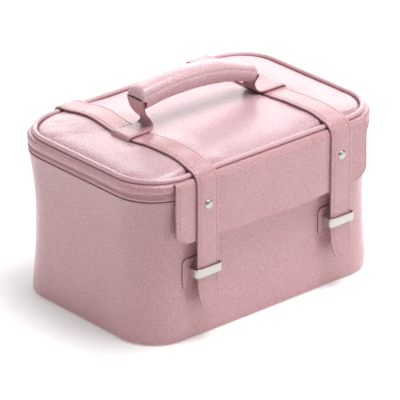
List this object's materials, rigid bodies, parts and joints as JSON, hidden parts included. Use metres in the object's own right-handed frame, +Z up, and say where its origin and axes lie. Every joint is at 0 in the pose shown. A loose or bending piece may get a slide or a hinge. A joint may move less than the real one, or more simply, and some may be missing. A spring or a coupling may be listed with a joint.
{
  "type": "makeup train case",
  "caption": "Soft-sided makeup train case: zipped lid with padded top and carry handle, front flap with straps through metal keepers, vanity mirror in the lid.",
  "frame": {"origin": "centre of the base, on the surface that the case stands on", "axes": "+X along the front from the viewer's left to right, -Y out of the front with the flap, +Z up through the handle"},
  "size_m": [0.3139, 0.2214, 0.229],
  "materials": {
    "leatherette": "pebbled, satin",
    "padded_leatherette": "pebbled, satin, padded",
    "strap_leatherette": "fine grain, stitched",
    "stiffener": "plain board",
    "lining": "woven",
    "zip_tape": "woven",
    "zip_teeth": "nylon coil",
    "nickel": "satin nickel plate",
    "looking_glass": "polished",
    "foam": "soft foam"
  },
  "bodies": {
    "case": {"base_panel": "leatherette", "base_board": "stiffener", "base_lining": "lining", "body_cover": "leatherette", "body_board": "stiffener", "body_lining": "lining", "lower_zipper_tape": "zip_tape", "lower_zipper_teeth": "zip_teeth", "hinge_strip": "leatherette", "left_keeper": "nickel", "right_keeper": "nickel", "left_keeper_patch": "strap_leatherette", "right_keeper_patch": "strap_leatherette", "left_strap_back": "strap_leatherette", "right_strap_back": "strap_leatherette", "left_back_rivet": "nickel", "right_back_rivet": "nickel"},
    "lid": {"lid_rim": "leatherette", "lid_piping": "leatherette", "lid_board": "stiffener", "lid_top_panel": "padded_leatherette", "lid_lining": "lining", "mirror": "looking_glass", "mirror_frame": "strap_leatherette", "upper_zipper_tape": "zip_tape", "upper_zipper_teeth": "zip_teeth", "left_strap_top": "strap_leatherette", "right_strap_top": "strap_leatherette", "left_strap_bend": "strap_leatherette", "right_strap_bend": "strap_leatherette", "left_handle_tab": "strap_leatherette", "right_handle_tab": "strap_leatherette", "flap_hinge_strip": "leatherette"},
    "flap": {"front_flap": "leatherette", "flap_backing": "lining", "left_strap_front": "strap_leatherette", "right_strap_front": "strap_leatherette", "left_rivet": "nickel", "right_rivet": "nickel"},
    "left_tail": {"left_strap_tail": "strap_leatherette"},
    "right_tail": {"right_strap_tail": "strap_leatherette"},
    "handle": {"handle_cover": "strap_leatherette", "handle_core": "foam"},
    "slider_a": {"zip_slider_a": "nickel"},
    "slider_b": {"zip_slider_b": "nickel"},
    "pull_a": {"zip_pull_a": "nickel"},
    "pull_b": {"zip_pull_b": "nickel"}
  },
  "joints": [
    {"name": "lid_hinge", "type": "hinge", "parent": "case", "child": "lid", "pos_m": [0, 0.1053, 0.156], "axis": [-1, 0, 0], "range_deg": [0, 100], "deforming": ["hinge_strip"]},
    {"name": "flap_hinge", "type": "hinge", "parent": "lid", "child": "flap", "pos_m": [0, -0.1065, 0.1655], "axis": [-1, 0, 0], "range_deg": [0, 110], "deforming": ["flap_hinge_strip", "left_strap_bend", "right_strap_bend"]},
    {"name": "left_tail_bend", "type": "hinge", "parent": "flap", "child": "left_tail", "pos_m": [-0.0865, -0.1097, 0.106], "axis": [-1, 0, 0], "range_deg": [0, 75], "deforming": ["left_strap_tail"]},
    {"name": "right_tail_bend", "type": "hinge", "parent": "flap", "child": "right_tail", "pos_m": [0.0865, -0.1097, 0.106], "axis": [-1, 0, 0], "range_deg": [0, 75], "deforming": ["right_strap_tail"]},
    {"name": "handle_lift", "type": "slide", "parent": "lid", "child": "handle", "axis": [0, 0, 1], "range_m": [-0.01, 0.008], "stiffness_N_per_m": 400, "springref_m": 0.0008, "deforming": ["left_handle_tab", "right_handle_tab"]},
    {"name": "slider_a_slide", "type": "slide", "parent": "case", "child": "slider_a", "axis": [0, 1, 0], "range_m": [0, 0.036]},
    {"name": "slider_b_slide", "type": "slide", "parent": "case", "child": "slider_b", "axis": [0, -1, 0], "range_m": [0, 0.036]},
    {"name": "pull_a_swing", "type": "hinge", "parent": "slider_a", "child": "pull_a", "pos_m": [0.1566, 0.006, 0.1562], "axis": [0, -1, 0], "range_deg": [0, 120]},
    {"name": "pull_b_swing", "type": "hinge", "parent": "slider_b", "child": "pull_b", "pos_m": [0.1566, -0.006, 0.1562], "axis": [0, -1, 0], "range_deg": [0, 120]}
  ]
}
